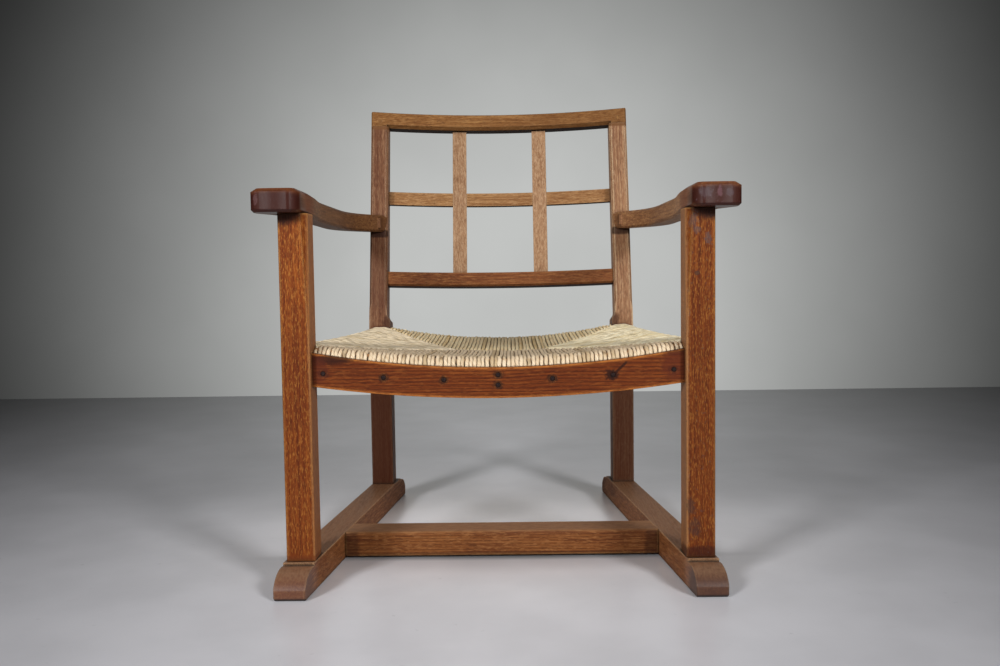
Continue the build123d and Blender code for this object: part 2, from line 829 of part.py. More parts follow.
def rush_field(points):
    """One field of the seat, cut from the pad just inside its outline."""
    outline = offset(outline_face(points), -rush_fit / 2, kind=Kind.INTERSECTION)
    z_range = (rush_side_bottom - seat_rail_depth, rush_side_top + seat_rail_depth)
    field = rush_blank() & plan_prism(outline, *z_range)
    for rail in (front_rail_body(rush_fit), back_rail_body(rush_fit)):
        field -= rail
    for rail in (side_rail_body(rush_fit), mirrored(side_rail_body(rush_fit))):
        field -= rail
    return field


def turned_over(field, outer_face):
    """Eases the top and bottom of a field where the rush turns over its rail."""
    return chamfer(outer_face.edges().filter_by(Axis.Z, reverse=True), rush_edge_chamfer)


def make_front_rush():
    corner = (front_inner - rush_fit, post_size + rush_fit)
    apex = (rush_apex_spacing / 2, rush_mitre_y)
    right = [(corner[0], rush_front - rush_fit / 2), corner, apex]
    left = [(-x, y) for x, y in reversed(right)]
    field = rush_field(right + left)
    return turned_over(field, field.faces().sort_by(Axis.Y)[0])


def make_back_rush():
    corner = (back_inner - rush_fit, back_post_setback - rush_fit)
    apex = (rush_apex_spacing / 2, rush_mitre_y)
    right = [apex, corner, (corner[0], rush_back + rush_fit / 2)]
    left = [(-x, y) for x, y in reversed(right)]
    field = rush_field(right + left)
    return turned_over(field, field.faces().sort_by(Axis.Y)[-1])


def make_side_rush():
    front_y = post_size + rush_fit
    back_y = back_post_setback - rush_fit
    points = [
        (front_inner, front_y),
        (side_rail_x(front_y) + rush_side_half, front_y),
        (side_rail_x(back_y) + rush_side_half, back_y),
        (back_inner, back_y),
        (rush_apex_spacing / 2, rush_mitre_y),
    ]
    field = rush_field(points)
    outside = seat_rail_thickness / 2
    faces = [f for f in field.faces() if f.center().X > side_rail_x(f.center().Y) + outside]
    return turned_over(field, max(faces, key=lambda f: f.area))


def make_parts():
    """Every piece by name, in place on the chair."""
    parts = {
        "stretcher": make_stretcher(),
        "crest_rail": make_crest(),
        "crest_pegs": make_crest_pegs(),
        "lattice_mid_rail": make_mid_rail(),
        "lattice_bottom_rail": make_low_rail(),
        "lattice_slat_right": make_slat(1),
        "lattice_slat_left": make_slat(-1),
        "front_seat_rail": make_front_seat_rail(),
        "back_seat_rail": make_back_seat_rail(),
        "front_apron": make_apron(),
        "apron_pegs": make_apron_pegs(),
        "rush_front": make_front_rush(),
        "rush_back": make_back_rush(),
    }
    pairs = {
        "sled": make_sled(),
        "front_post": make_front_post(),
        "back_post": make_back_post(),
        "arm": make_arm(),
        "side_seat_rail": make_side_seat_rail(),
        "rush_side": make_side_rush(),
    }
    for name, piece in pairs.items():
        parts[name + "_right"] = piece
        parts[name + "_left"] = mirrored(piece)
    return parts


# The outline reaches from the front toes to the crest's eased back arris
crest_ease = worn_size * math.sin(rake)
crest_back = raked_point(back_sagitta + crest_thickness, crest_top_rise)[0] - crest_ease
centred = Pos(0, -(sled_front_end + crest_back) / 2, 0)

os.makedirs("parts", exist_ok=True)
for name, piece in make_parts().items():
    export_step(centred * piece, "parts/" + name + ".step")
print("outline middle", round((sled_front_end + crest_back) / 2, 3))
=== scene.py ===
import math
import random

import bpy
import numpy as np
from mathutils import Matrix, Vector


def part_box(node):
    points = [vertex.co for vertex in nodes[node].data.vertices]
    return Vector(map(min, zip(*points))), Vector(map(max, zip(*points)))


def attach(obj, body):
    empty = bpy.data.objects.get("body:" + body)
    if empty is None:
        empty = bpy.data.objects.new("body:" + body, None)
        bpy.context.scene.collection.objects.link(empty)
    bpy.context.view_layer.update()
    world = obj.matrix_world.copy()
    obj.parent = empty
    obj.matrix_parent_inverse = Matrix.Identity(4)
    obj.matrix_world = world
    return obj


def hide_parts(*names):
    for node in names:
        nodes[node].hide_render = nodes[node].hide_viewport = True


MM = 0.001
SIDES = (("left", -1), ("right", 1))

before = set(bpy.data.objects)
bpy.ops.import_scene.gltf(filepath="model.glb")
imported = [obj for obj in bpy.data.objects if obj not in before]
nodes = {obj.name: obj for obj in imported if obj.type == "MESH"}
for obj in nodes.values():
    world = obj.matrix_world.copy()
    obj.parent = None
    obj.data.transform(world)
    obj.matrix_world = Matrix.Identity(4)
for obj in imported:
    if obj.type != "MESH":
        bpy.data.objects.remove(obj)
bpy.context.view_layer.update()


# ---------------------------------------------------------------- camera

CAMERA_LENS = 32.4
CAMERA_SENSOR = 36.0
CAMERA_PLACE = (0.0184, -1.5476, 0.4403)
CAMERA_PITCH = math.radians(3.442)
CAMERA_ROLL = math.radians(0.801)
CAMERA_YAW = math.radians(-0.67)


def make_camera():
    """The photograph's camera, turned by yaw, pitch and roll."""
    forward = Vector((
        math.sin(CAMERA_YAW) * math.cos(CAMERA_PITCH),
        math.cos(CAMERA_YAW) * math.cos(CAMERA_PITCH),
        -math.sin(CAMERA_PITCH),
    ))
    right = forward.cross(Vector((0, 0, 1))).normalized()
    up = right.cross(forward)
    turned_right = right * math.cos(CAMERA_ROLL) - up * math.sin(CAMERA_ROLL)
    turned_up = right * math.sin(CAMERA_ROLL) + up * math.cos(CAMERA_ROLL)
    lens = bpy.data.cameras.new("camera")
    lens.lens = CAMERA_LENS
    lens.sensor_width = CAMERA_SENSOR
    camera = bpy.data.objects.new("camera", lens)
    turn = Matrix((turned_right, turned_up, -forward)).transposed().to_4x4()
    camera.matrix_world = Matrix.Translation(CAMERA_PLACE) @ turn
    bpy.context.scene.collection.objects.link(camera)
    bpy.context.scene.camera = camera


# ---------------------------------------------------------------- shader helpers

SURFACE_SAMPLES = 6
ARRIS_SPAN = (0.82, 0.9992)
OPEN_SPAN = (0.45, 0.95)


def linear(red, green, blue):
    """A colour written in display values, 0 to 255, as Blender's linear colour."""
    def one(value):
        value /= 255
        return value / 12.92 if value <= 0.04045 else ((value + 0.055) / 1.055) ** 2.4
    return (one(red), one(green), one(blue), 1.0)


class Shader:
    """A material's node tree, built by short calls that return sockets."""

    def __init__(self, name):
        self.material = bpy.data.materials.new(name)
        self.material.use_nodes = True
        self.tree = self.material.node_tree
        self.tree.nodes.clear()

    def node(self, kind, inputs=None, **settings):
        made = self.tree.nodes.new(kind)
        for key, value in settings.items():
            setattr(made, key, value)
        for socket, value in (inputs or {}).items():
            if isinstance(value, bpy.types.NodeSocket):
                self.tree.links.new(value, made.inputs[socket])
            else:
                made.inputs[socket].default_value = value
        return made

    def math(self, operation, first, second=0.0, third=0.0, clamp=False):
        made = self.node("ShaderNodeMath", {0: first, 1: second, 2: third}, operation=operation)
        made.use_clamp = clamp
        return made.outputs[0]

    def vector(self, operation, first, second=(0, 0, 0)):
        return self.node("ShaderNodeVectorMath", {0: first, 1: second}, operation=operation).outputs[0]

    def length(self, first):
        return self.node("ShaderNodeVectorMath", {0: first}, operation="LENGTH").outputs[1]

    def join(self, x, y, z):
        return self.node("ShaderNodeCombineXYZ", {0: x, 1: y, 2: z}).outputs[0]

    def place(self):
        """Object coordinates, which are metres in the row frame."""
        return self.node("ShaderNodeTexCoord").outputs["Object"]

    def split(self, vector):
        made = self.node("ShaderNodeSeparateXYZ", {0: vector})
        return made.outputs[0], made.outputs[1], made.outputs[2]

    def noise(self, vector, scale=1.0, detail=2.0, roughness=0.5):
        made = self.node("ShaderNodeTexNoise", {
            "Vector": vector, "Scale": scale, "Detail": detail, "Roughness": roughness,
        })
        return made.outputs[0]

    def smooth(self, value, start, end, low=0.0, high=1.0):
        """low below start, high above end, and a smooth step between them."""
        made = self.node("ShaderNodeMapRange", {
            0: value, 1: start, 2: end, 3: low, 4: high,
        }, interpolation_type="SMOOTHSTEP", clamp=True)
        return made.outputs[0]

    def mix(self, factor, first, second):
        made = self.node("ShaderNodeMix", {0: factor, 6: first, 7: second}, data_type="RGBA")
        return made.outputs[2]

    def blot(self, centre, radii, edge=0.35):
        """1 inside an ellipsoid at centre, 0 outside, soft over the given share of it."""
        away = self.vector("SUBTRACT", self.place(), centre)
        away = self.vector("DIVIDE", away, radii)
        return self.smooth(self.length(away), 1 - edge, 1 + edge, 1.0, 0.0)

    def rounded(self, radius):
        """The surface's normal with its arrises rounded."""
        return self.node("ShaderNodeBevel", {0: radius}, samples=SURFACE_SAMPLES).outputs[0]

    def edges(self, radius):
        """0 on the flats and up to 1 along the arrises."""
        flat = self.node("ShaderNodeNewGeometry").outputs["Normal"]
        normals = {0: self.rounded(radius), 1: flat}
        near = self.node("ShaderNodeVectorMath", normals, operation="DOT_PRODUCT").outputs[1]
        return self.smooth(near, *ARRIS_SPAN, 1.0, 0.0)

    def crevice(self, distance):
        """0 in the open and up to 1 in corners."""
        occlusion = self.node("ShaderNodeAmbientOcclusion", {"Distance": distance}, samples=SURFACE_SAMPLES)
        return self.smooth(occlusion.outputs[1], *OPEN_SPAN, 1.0, 0.0)

    def finish(self, colour, roughness, height=None, normal=None, bump=0.4, bump_size=0.0004,
               coat=0.0, coat_roughness=0.2, specular=0.5):
        surface = self.node("ShaderNodeBsdfPrincipled", {
            "Base Color": colour, "Roughness": roughness,
            "Coat Weight": coat, "Coat Roughness": coat_roughness, "Specular IOR Level": specular,
        })
        if height is not None:
            bumped = self.node("ShaderNodeBump", {"Strength": bump, "Distance": bump_size, "Height": height})
            if normal is not None:
                self.tree.links.new(normal, bumped.inputs["Normal"])
            self.tree.links.new(bumped.outputs[0], surface.inputs["Normal"])
        out = self.node("ShaderNodeOutputMaterial")
        self.tree.links.new(surface.outputs[0], out.inputs["Surface"])
        return self.material


# ---------------------------------------------------------------- oak

GRAIN_ORDER = {"X": (0, 1, 2), "Y": (1, 0, 2), "Z": (2, 0, 1)}
# The back posts' grain leans with them above the knee.
KNEE = 0.352
RAKE_SLOPE = math.tan(math.radians(12))
SEED_STEP = 3.71
WOBBLE = 0.02
WOBBLE_LENGTHWISE = 3.0
WOBBLE_CROSSWISE = 8.0
STROKE_OFFSET = 3.0
FLECK_OFFSET = 9.0
# Sizes of noise: how fine it is along the grain and across it, and an offset.
FIBRE_SIZE = (24.0, 800.0)
PORE_SIZE = (110.0, 1000.0)
MOTTLE_SIZE = (4.5, 14.0, 5.0)
# Where in its noise each layer of tone starts, and where it is full.
OAK_SPANS = {
    "mottle": (0.38, 0.66),
    "pale": (0.46, 0.66),
    "deep": (0.46, 0.3),
    "speckle": (0.52, 0.64),
    "fibre": (0.5, 0.75),
    "pore": (0.58, 0.68),
}
FIBRE_STRENGTH = 0.35
GRIME_AND_SHADE_REACH = 8
POLISH_FADE = 0.03
MARK_NOISE = 210.0
MARK_EDGE = 0.6
MARK_SPAN = (0.3, 0.9)
OAK_BUMP_SIZE = 0.0005
OAK_LOOK = {
    "raked": False,
    "pith": (0.0, 0.0),
    "ring_gap": 3.2,
    "rings": 0.0,
    "streaks": 0.7,
    "streak_size": (4.0, 330.0),
    "stroke_size": (90.0, 420.0),
    "fleck_size": (70.0, 380.0),
    "strokes": 0.5,
    "flecks": 0.35,
    "stains": 0.6,
    "pores": 0.4,
    "wear": 0.5,
    "wear_reach": 5.5,
    "round": 2.5,
    "grime": 0.6,
    "below": 0.0,
    "dust": 0.0,
    "roughness": 0.52,
    "coat": 0.0,
    "handled": 0.0,
    "bump": 0.35,
    "coat_roughness": 0.18,
    "specular": 0.12,
    "marks": (),
}


def grain_places(shader, grain, raked):
    """The places along, across and up through the fibres."""
    parts = shader.split(shader.place())
    along, across, up = (parts[i] for i in GRAIN_ORDER[grain])
    if raked:
        above = shader.math("MAXIMUM", shader.math("SUBTRACT", along, KNEE), 0.0)
        up = shader.math("SUBTRACT", up, shader.math("MULTIPLY", above, RAKE_SLOPE))
    return along, across, up


def add_marks(shader, colour, marks):
    """Stains, scuffs and knots: each has a centre, radii, a tone, a strength and how torn its edge is."""
    if not marks:
        return colour
    ragged = shader.noise(shader.place(), scale=MARK_NOISE, detail=4.0, roughness=0.7)
    ragged = shader.math("SUBTRACT", ragged, 0.5)
    for centre, radii, tone, strength, torn in marks:
        mask = shader.math("ADD", shader.blot(centre, radii, MARK_EDGE), shader.math("MULTIPLY", ragged, torn))
        share = shader.math("MULTIPLY", shader.smooth(mask, *MARK_SPAN), strength)
        colour = shader.mix(share, colour, tone)
    return colour


def ring_mask(shader, side, rise, pith, gap):
    """The porous early wood of the year rings, which lie round the pith."""
    reach = shader.length(shader.join(
        0.0,
        shader.math("SUBTRACT", side, pith[0]),
        shader.math("SUBTRACT", rise, pith[1]),
    ))
    ring = shader.math("FRACT", shader.math("DIVIDE", reach, gap * MM))
    return shader.math("MULTIPLY", shader.smooth(ring, 0.0, 0.12), shader.smooth(ring, 0.2, 0.55, 1.0, 0.0))


def oak(name, tones, grain, seed, **changes):
    """Waxed, worn oak. Grain is the axis that the fibres follow."""
    look = {**OAK_LOOK, **changes}
    shader = Shader(name)
    along, across, up = grain_places(shader, grain, look["raked"])
    shift = seed * SEED_STEP
    slow = shader.join(
        shader.math("ADD", shader.math("MULTIPLY", along, WOBBLE_LENGTHWISE), shift),
        shader.math("MULTIPLY", across, WOBBLE_CROSSWISE),
        shader.math("MULTIPLY", up, WOBBLE_CROSSWISE),
    )
    wobble = shader.math("MULTIPLY", shader.math("SUBTRACT", shader.noise(slow, detail=2.0), 0.5), WOBBLE)
    side = shader.math("ADD", across, wobble)
    rise = shader.math("ADD", up, wobble)

    def stretched(lengthwise, crosswise, offset=0.0):
        return shader.join(
            shader.math("ADD", shader.math("MULTIPLY", along, lengthwise), shift + offset),
            shader.math("MULTIPLY", side, crosswise),
            shader.math("MULTIPLY", rise, crosswise),
        )

    def layer(under, noise, span, strength, tone):
        return shader.mix(shader.smooth(noise, *OAK_SPANS[span], 0.0, strength), under, tones[tone])

    streak = shader.noise(stretched(*look["streak_size"]), detail=3.0, roughness=0.6)
    stroke = shader.noise(stretched(*look["stroke_size"], STROKE_OFFSET), detail=2.0, roughness=0.6)
    fleck = shader.noise(stretched(*look["fleck_size"], FLECK_OFFSET), detail=2.0, roughness=0.6)
    fibre = shader.noise(stretched(*FIBRE_SIZE), detail=2.0)
    pores = shader.noise(stretched(*PORE_SIZE), detail=1.0)
    mottle = shader.noise(stretched(*MOTTLE_SIZE), detail=3.0, roughness=0.55)

    colour = layer(tones["body"], mottle, "mottle", look["stains"], "stain")
    colour = layer(colour, streak, "pale", look["streaks"], "pale")
    colour = layer(colour, streak, "deep", look["streaks"], "deep")
    if look["rings"]:
        early = ring_mask(shader, side, rise, look["pith"], look["ring_gap"])
        colour = shader.mix(shader.math("MULTIPLY", early, look["rings"]), colour, tones["deep"])
    colour = layer(colour, fleck, "speckle", look["flecks"], "fleck")
    colour = layer(colour, stroke, "speckle", look["strokes"], "deep")
    colour = layer(colour, fibre, "fibre", FIBRE_STRENGTH, "deep")
    colour = layer(colour, pores, "pore", look["pores"], "pore")

    worn = shader.edges(look["wear_reach"] * MM)
    rub = shader.math("MULTIPLY", worn, shader.smooth(stroke, 0.35, 0.55, 0.35, 1.0))
    colour = shader.mix(shader.math("MULTIPLY", rub, look["wear"]), colour, tones["worn"])
    colour = add_marks(shader, colour, look["marks"])
    facing = shader.split(shader.node("ShaderNodeNewGeometry").outputs["Normal"])[2]
    if look["dust"]:
        uneven = shader.smooth(fleck, 0.3, 0.6, 0.5, 1.0)
        settled = shader.math("MULTIPLY", shader.smooth(facing, 0.5, 0.95), uneven)
        colour = shader.mix(shader.math("MULTIPLY", settled, look["dust"]), colour, tones["dust"])
    # Painted shade: faces that look down are darkened.
    if look["below"]:
        underside = shader.smooth(facing, -0.35, -0.8, 0.0, look["below"])
        colour = shader.mix(underside, colour, tones["grime"])
    # Painted shade in corners and crevices, found by ambient occlusion, which also stands for grime there.
    corners = shader.math("MULTIPLY", shader.crevice(GRIME_AND_SHADE_REACH * MM), look["grime"])
    colour = shader.mix(corners, colour, tones["grime"])

    coat = look["coat"]
    if look["handled"]:
        depth = shader.split(shader.place())[1]
        polish = shader.smooth(depth, look["handled"], look["handled"] + POLISH_FADE, 1.0, 0.0)
        coat = shader.math("MULTIPLY", polish, coat)
    height = shader.math("SUBTRACT", shader.math("MULTIPLY", fibre, 0.5), shader.math("MULTIPLY", pores, 0.5))
    rough = shader.math("ADD", look["roughness"] - 0.08, shader.math("MULTIPLY", fibre, 0.2), clamp=True)
    soft = shader.rounded(look["round"] * MM)
    return shader.finish(colour, rough, height, soft, bump=look["bump"], bump_size=OAK_BUMP_SIZE, coat=coat,
                         coat_roughness=look["coat_roughness"], specular=look["specular"])


# In each palette the darkest tone serves as grime and as painted shade in corners and on undersides.
POST = {
    "body": linear(134, 64, 20), "pale": linear(164, 88, 30), "deep": linear(92, 36, 12),
    "stain": linear(110, 46, 16), "fleck": linear(200, 132, 58), "pore": linear(56, 24, 10),
    "worn": linear(222, 166, 92), "grime": linear(36, 16, 9),
}
APRON = {
    "body": linear(116, 54, 18), "pale": linear(142, 74, 28), "deep": linear(76, 30, 12),
    "stain": linear(90, 36, 14), "fleck": linear(156, 90, 40), "pore": linear(42, 18, 9),
    "worn": linear(206, 128, 60), "grime": linear(34, 16, 10),
}
ARM = {
    "body": linear(104, 70, 42), "pale": linear(124, 88, 54), "deep": linear(66, 38, 24),
    "stain": linear(82, 50, 32), "fleck": linear(132, 96, 62), "pore": linear(36, 20, 14),
    "worn": linear(136, 92, 58), "grime": linear(26, 12, 10),
}
BACK = {
    "body": linear(160, 116, 72), "pale": linear(188, 144, 98), "deep": linear(112, 70, 38),
    "stain": linear(136, 90, 52), "fleck": linear(200, 158, 114), "pore": linear(70, 42, 24),
    "worn": linear(192, 152, 110), "grime": linear(38, 20, 12),
}
SLAT = {
    "body": linear(172, 132, 98), "pale": linear(196, 160, 126), "deep": linear(126, 88, 60),
    "stain": linear(148, 108, 76), "fleck": linear(206, 172, 136), "pore": linear(76, 50, 34),
    "worn": linear(200, 166, 132), "grime": linear(40, 22, 14),
}
CREST = {
    "body": linear(146, 100, 54), "pale": linear(170, 124, 74), "deep": linear(104, 62, 30),
    "stain": linear(122, 78, 40), "fleck": linear(176, 132, 84), "pore": linear(64, 36, 20),
    "worn": linear(178, 134, 90), "grime": linear(26, 12, 8),
}
LOW_RAIL = {
    "body": linear(124, 72, 38), "pale": linear(150, 98, 56), "deep": linear(80, 40, 20),
    "stain": linear(100, 54, 28), "fleck": linear(158, 110, 66), "pore": linear(46, 24, 14),
    "worn": linear(168, 120, 78), "grime": linear(28, 13, 9),
}
BACK_POST = {
    "body": linear(128, 82, 54), "pale": linear(156, 110, 76), "deep": linear(82, 42, 26),
    "stain": linear(104, 60, 38), "fleck": linear(166, 122, 88), "pore": linear(46, 24, 14),
    "worn": linear(206, 166, 128), "grime": linear(30, 13, 9),
}
SLED = {
    "body": linear(126, 76, 42), "pale": linear(152, 102, 62), "deep": linear(80, 40, 22),
    "stain": linear(102, 56, 30), "fleck": linear(166, 122, 82), "pore": linear(48, 26, 16),
    "worn": linear(196, 158, 118), "grime": linear(26, 14, 10), "dust": linear(136, 104, 80),
}
STRETCHER = {
    "body": linear(130, 78, 38), "pale": linear(154, 100, 56), "deep": linear(88, 44, 22),
    "stain": linear(106, 58, 30), "fleck": linear(164, 112, 66), "pore": linear(50, 28, 16),
    "worn": linear(214, 158, 98), "grime": linear(36, 20, 14), "dust": linear(166, 122, 86),
}
PLAIN = {
    "body": linear(168, 124, 82), "pale": linear(194, 152, 108), "deep": linear(120, 80, 48),
    "stain": linear(140, 98, 62), "fleck": linear(206, 168, 126), "pore": linear(86, 54, 32),
    "worn": linear(204, 166, 124), "grime": linear(60, 38, 24),
}
PEG = {
    "body": linear(36, 24, 22), "pale": linear(56, 40, 36), "deep": linear(20, 13, 12),
    "stain": linear(28, 18, 16), "fleck": linear(60, 44, 40), "pore": linear(14, 9, 8),
    "worn": linear(40, 26, 22), "grime": linear(12, 8, 8),
}

APRON_FRONT = -0.2783
POST_FRONT = -0.2888
ARM_FRONT = -0.3158
STRETCHER_FRONT = -0.1448
DARK_SPOT = linear(44, 20, 12)
RED_END = linear(84, 34, 18)
HANDLED = linear(56, 22, 17)
# A dark tone for painted shade on the lower posts.
PAINTED_SHADE = linear(66, 28, 12)
SCUFF = linear(84, 74, 74)
SMUDGE = linear(60, 44, 38)
RUBBED = linear(196, 144, 98)
TOE_END = linear(58, 36, 30)
APRON_PEGS = (
    (-0.2486, 0.3093), (-0.1628, 0.3025), (-0.0771, 0.2985), (0.0, 0.3046), (0.0, 0.2902),
    (0.0771, 0.2985), (0.1628, 0.3025), (0.2486, 0.3093),
)
CRACK_START = (0.166, 0.3055)
CRACK_STEP = (0.0019, 0.0018)
CRACK_BLOTS = 9


def apron_marks():
    """A halo of stain round each peg, the dark ends, and the knot with its crack."""
    marks = [((x, APRON_FRONT, z), (0.0082, 0.02, 0.0066), DARK_SPOT, 0.85, 1.6) for x, z in APRON_PEGS]
    marks.append(((-0.236, APRON_FRONT, 0.3289), (0.032, 0.02, 0.007), DARK_SPOT, 0.8, 1.2))
    marks.append(((0.160, APRON_FRONT, 0.3020), (0.0105, 0.02, 0.0085), DARK_SPOT, 0.85, 2.2))
    for step in range(CRACK_BLOTS):
        crack = (CRACK_START[0] + step * CRACK_STEP[0], APRON_FRONT, CRACK_START[1] + step * CRACK_STEP[1])
        marks.append((crack, (0.0022, 0.02, 0.0022), DARK_SPOT, 0.8, 0.4))
    marks.append(((0.252, APRON_FRONT, 0.3350), (0.020, 0.02, 0.006), DARK_SPOT, 0.55, 1.8))
    marks.append(((0.252, APRON_FRONT, 0.3150), (0.022, 0.02, 0.022), RED_END, 0.6, 1.0))
    marks.append(((-0.258, APRON_FRONT, 0.3150), (0.018, 0.02, 0.022), RED_END, 0.6, 1.0))
    return marks


def post_marks(sign):
    """Rubbed inner faces, painted shade low down, painted shadow under the arm, marks at the foot, and scuffs
    on the right.
    """
    marks = [
        ((sign * 0.258, -0.268, 0.30), (0.010, 0.08, 0.60), RUBBED, 0.28 if sign < 0 else 0.42, 0.8),
        # Painted shade low down.
        ((sign * 0.289, POST_FRONT, 0.17), (0.05, 0.1, 0.24), PAINTED_SHADE, 0.30 if sign < 0 else 0.22, 0.8),
        # Painted shadow that the arm casts on the top of the post.
        ((sign * 0.300, POST_FRONT, 0.543), (0.040, 0.006, 0.026), linear(34, 14, 9), 0.9, 0.5),
    ]
    if sign < 0:
        return marks + [((-0.285, POST_FRONT, 0.046), (0.05, 0.05, 0.005), linear(104, 50, 22), 0.7, 0.3)]
    return marks + [
        ((0.285, POST_FRONT, 0.047), (0.05, 0.05, 0.012), linear(58, 24, 14), 0.8, 0.8),
        ((0.2743, POST_FRONT, 0.5184), (0.007, 0.01, 0.012), SCUFF, 0.45, 2.8),
        ((0.2790, POST_FRONT, 0.5040), (0.006, 0.01, 0.005), SCUFF, 0.45, 2.8),
        ((0.2944, POST_FRONT, 0.4943), (0.005, 0.01, 0.009), SCUFF, 0.55, 2.8),
        ((0.2791, POST_FRONT, 0.4446), (0.004, 0.01, 0.003), SMUDGE, 0.7, 2.2),
        ((0.2700, POST_FRONT, 0.1150), (0.006, 0.01, 0.012), SMUDGE, 0.6, 2.6),
        ((0.2760, POST_FRONT, 0.0857), (0.009, 0.01, 0.014), SMUDGE, 0.55, 2.8),
    ]


def back_post_marks(sign):
    """Painted shade low down and at mid-height, painted shadow under the arm, a dark spot at the seat, and no
    wear where the crest rail covers the top.
    """
    shade = 0.42 if sign < 0 else 0.08
    return [
        # Painted shade low down, under the seat.
        ((sign * 0.2355, 0.195, 0.16), (0.1, 0.038, 0.2), PAINTED_SHADE, 0.85, 0.3),
        # Painted shade at mid-height, deeper on the left post.
        ((sign * 0.232, 0.215, 0.455), (0.1, 0.038, 0.095), linear(70, 32, 22), shade, 0.6),
        # Painted shadow that the arm casts on the post.
        ((sign * 0.236, 0.232, 0.5325), (0.04, 0.016, 0.0085), linear(34, 16, 14), 0.8, 0.6),
        ((sign * 0.215, 0.195, 0.360), (0.016, 0.03, 0.016), linear(60, 30, 20), 0.7, 0.6),
        ((sign * 0.235, 0.28, 0.7475), (0.1, 0.1, 0.005), linear(116, 76, 44), 0.9, 0.2),
    ]


def arm_marks(sign):
    """The dark front end from hands, painted highlights on its front face, and painted shade over the lit
    facet at the back end.
    """
    marks = [
        ((sign * 0.290, -0.300, 0.556), (0.09, 0.105, 0.045), linear(112, 54, 28), 0.66, 0.6),
        ((sign * 0.304, -0.322, 0.549), (0.07, 0.060, 0.0175), HANDLED, 0.95, 0.3),
        # Painted shade that dulls the highlight on the end facet at the back post.
        ((sign * 0.229, 0.215, 0.5525), (0.009, 0.022, 0.04), linear(90, 56, 35), 0.6, 0.3),
    ]
    if sign < 0:
        # Painted highlight on the left arm's front face.
        return marks + [((-0.328, ARM_FRONT, 0.553), (0.004, 0.012, 0.009), linear(124, 92, 92), 0.35, 3.0)]
    # Painted highlights, grey and pink, on the right arm's front face.
    return marks + [
        ((0.2860, ARM_FRONT, 0.554), (0.009, 0.012, 0.007), linear(96, 84, 90), 0.32, 3.2),
        ((0.3050, ARM_FRONT, 0.555), (0.0035, 0.012, 0.007), linear(136, 96, 104), 0.32, 3.2),
        ((0.3180, ARM_FRONT, 0.553), (0.006, 0.012, 0.006), linear(92, 80, 86), 0.32, 3.2),
    ]


def stretcher_marks():
    """Stain at both ends, where the stretcher meets the feet, and painted shade along its lower edge."""
    stain, shade = linear(46, 22, 12), linear(60, 30, 16)
    ends = [((x, STRETCHER_FRONT, 0.02), (0.016, 0.03, 0.05), stain, 0.6, 0.8) for x in (-0.241, 0.241)]
    # Painted shade along the lower edge, by the floor.
    return ends + [((0.0, STRETCHER_FRONT, 0.004), (0.3, 0.02, 0.006), shade, 0.6, 1.0)]


def lighter(tones, red, green=None, blue=None):
    """The same palette, brighter or darker by a share, or by one for each of red, green and blue."""
    shares = (red, green or red, blue or red)
    return {key: tuple(min(c * s, 1.0) for c, s in zip(tone, shares)) + (1.0,) for key, tone in tones.items()}


def dress(name, material):
    """Gives a carried-over solid its material."""
    holder = nodes[name]
    if not holder.material_slots:
        holder.data.materials.append(material)
    for place in holder.material_slots:
        place.material = material


def dress_oak(node, label, *arguments, **changes):
    """Gives a solid its own oak."""
    dress(node, oak("oak_" + label, *arguments, **changes))


def dress_sides():
    posts = {"left": lighter(POST, 0.86), "right": lighter(POST, 0.66)}
    # Painted light: the right back post's palette is a lighter copy, standing in for light that falls on it
    # from the left.
    back_post_lit_copies = {"left": lighter(BACK_POST, 1.0, 1.1, 1.2), "right": lighter(BACK_POST, 1.58, 2.0, 2.27)}
    # Painted light: the arms' palettes are lighter copies, the right one most, standing in for the light on
    # their inner faces.
    arms = {"left": lighter(ARM, 1.45), "right": lighter(ARM, 2.7, 2.95, 3.3)}
    slats = {"left": lighter(SLAT, 0.92), "right": SLAT}
    toes = {"left": (linear(84, 52, 42), 0.6), "right": (TOE_END, 0.8)}
    for side, sign in SIDES:
        dress_oak("front_post_" + side, "front_post_" + side, posts[side], "Z", 1 + sign,
                  wear=0.7, wear_reach=7.0, strokes=0.6, stroke_size=(110.0, 600.0),
                  flecks=0.6, fleck_size=(130.0, 700.0), marks=post_marks(sign))
        dress_oak("back_post_" + side, "back_post_" + side, back_post_lit_copies[side], "Z", 4 + sign,
                  raked=True, wear=0.75, wear_reach=8.0, strokes=0.35, marks=back_post_marks(sign))
        dress_oak("arm_" + side, "arm_" + side, arms[side], "Y", 7 + sign,
                  coat=0.28, handled=-0.285, coat_roughness=0.16, roughness=0.5, wear=0.15,
                  round=2.8, below=0.3, strokes=0.3, flecks=0.2, marks=arm_marks(sign))
        toe_mark = [((sign * 0.288, -0.335, 0.012), (0.06, 0.040, 0.045), *toes[side], 0.8)]
        dress_oak("sled_" + side, "sled_" + side, SLED, "Y", 10 + sign,
                  dust=0.7, strokes=0.35, grime=1.0, wear=0.8, coat=0.5, handled=-0.30,
                  coat_roughness=0.3, marks=toe_mark)
        dress_oak("side_seat_rail_" + side, "side_rail_" + side, PLAIN, "Y", 13 + sign)
        dress_oak("lattice_slat_" + side, "slat_" + side, slats[side], "Z", 16 + sign,
                  strokes=0.35, below=0.8)


